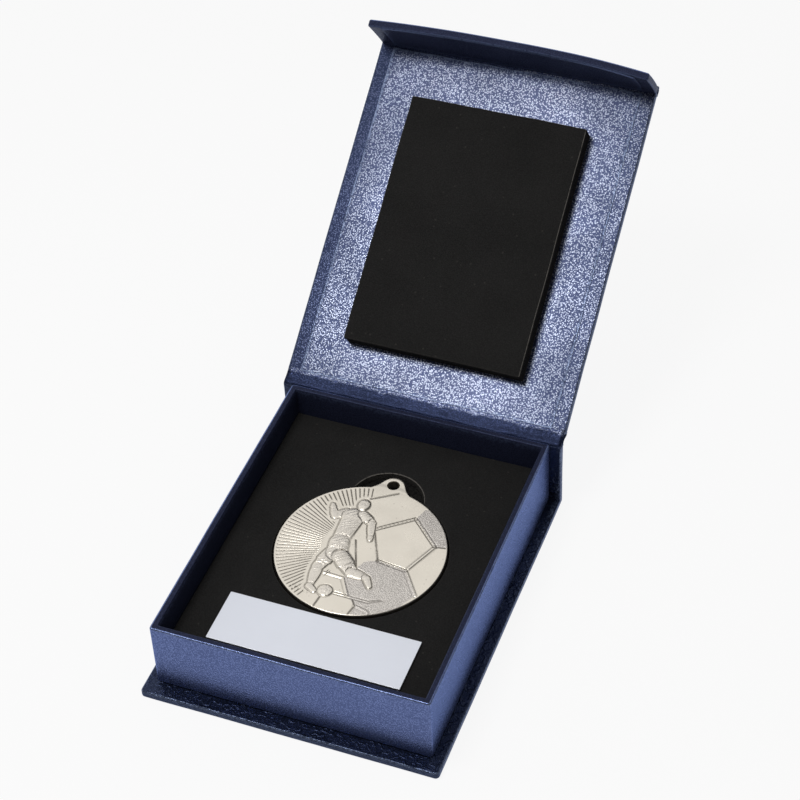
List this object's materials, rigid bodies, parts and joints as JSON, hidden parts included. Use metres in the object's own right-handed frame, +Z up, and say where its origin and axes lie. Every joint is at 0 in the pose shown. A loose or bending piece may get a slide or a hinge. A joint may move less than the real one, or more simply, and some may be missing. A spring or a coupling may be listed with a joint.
{
  "type": "cased medal",
  "caption": "Hinged book-style presentation case with a closing front flap, a foam insert holding a round medal and a blank engraving plate.",
  "frame": {"origin": "centre of the base panel's underside, on the surface the case stands on", "axes": "+Z up, +Y from the open front towards the lid's hinge, +X to the right seen from the front"},
  "size_m": [0.0886, 0.202, 0.1031],
  "materials": {
    "greyboard": "rough grey board",
    "cover_leatherette": "navy pebbled leatherette with a metallic sheen",
    "lining_leatherette": "navy pebbled lining with a silvery sheen",
    "crease_leatherette": "creased navy leatherette",
    "black_foam": "matt black foam",
    "black_velour": "matt black flock",
    "tape_white": "double-sided tape",
    "plate_aluminium": "satin, blank",
    "medal_nickel": "bright nickel with fine relief",
    "magnet_nickel": "nickel plated",
    "keeper_steel": "plain steel"
  },
  "bodies": {
    "case": {"base_board": "greyboard", "base_cover": "cover_leatherette", "spine_board": "greyboard", "spine_cover": "cover_leatherette", "spine_lining": "lining_leatherette", "tray_floor_board": "greyboard", "tray_front_board": "greyboard", "tray_rear_board": "greyboard", "tray_left_board": "greyboard", "tray_right_board": "greyboard", "tray_wrap": "cover_leatherette", "keeper_left": "keeper_steel", "keeper_right": "keeper_steel", "foam_base": "black_foam", "foam_insert": "black_foam", "insert_velour": "black_velour", "plate_tape": "tape_white", "engraving_plate": "plate_aluminium"},
    "medal": {"medal": "medal_nickel"},
    "lid": {"lid_board": "greyboard", "lid_cover": "cover_leatherette", "lid_liner": "lining_leatherette", "lid_pad_foam": "black_foam", "lid_pad_velour": "black_velour", "lid_hinge_strip": "crease_leatherette", "flap_hinge_strip": "crease_leatherette"},
    "flap": {"flap_board": "greyboard", "flap_cover": "cover_leatherette", "flap_liner": "lining_leatherette", "flap_magnet_left": "magnet_nickel", "flap_magnet_right": "magnet_nickel"}
  },
  "joints": [
    {"name": "lid_hinge", "type": "hinge", "parent": "case", "child": "lid", "pos_m": [0, 0.0552, 0.0258], "axis": [-1, 0, 0], "range_deg": [-145, 45]},
    {"name": "flap_hinge", "type": "hinge", "parent": "lid", "child": "flap", "pos_m": [0, 0.14658, 0.08759], "axis": [-1, 0, 0], "range_deg": [0, 90]},
    {"name": "medal_lift", "type": "slide", "parent": "case", "child": "medal", "axis": [0, 0, 1], "range_m": [0, 0.04]}
  ]
}
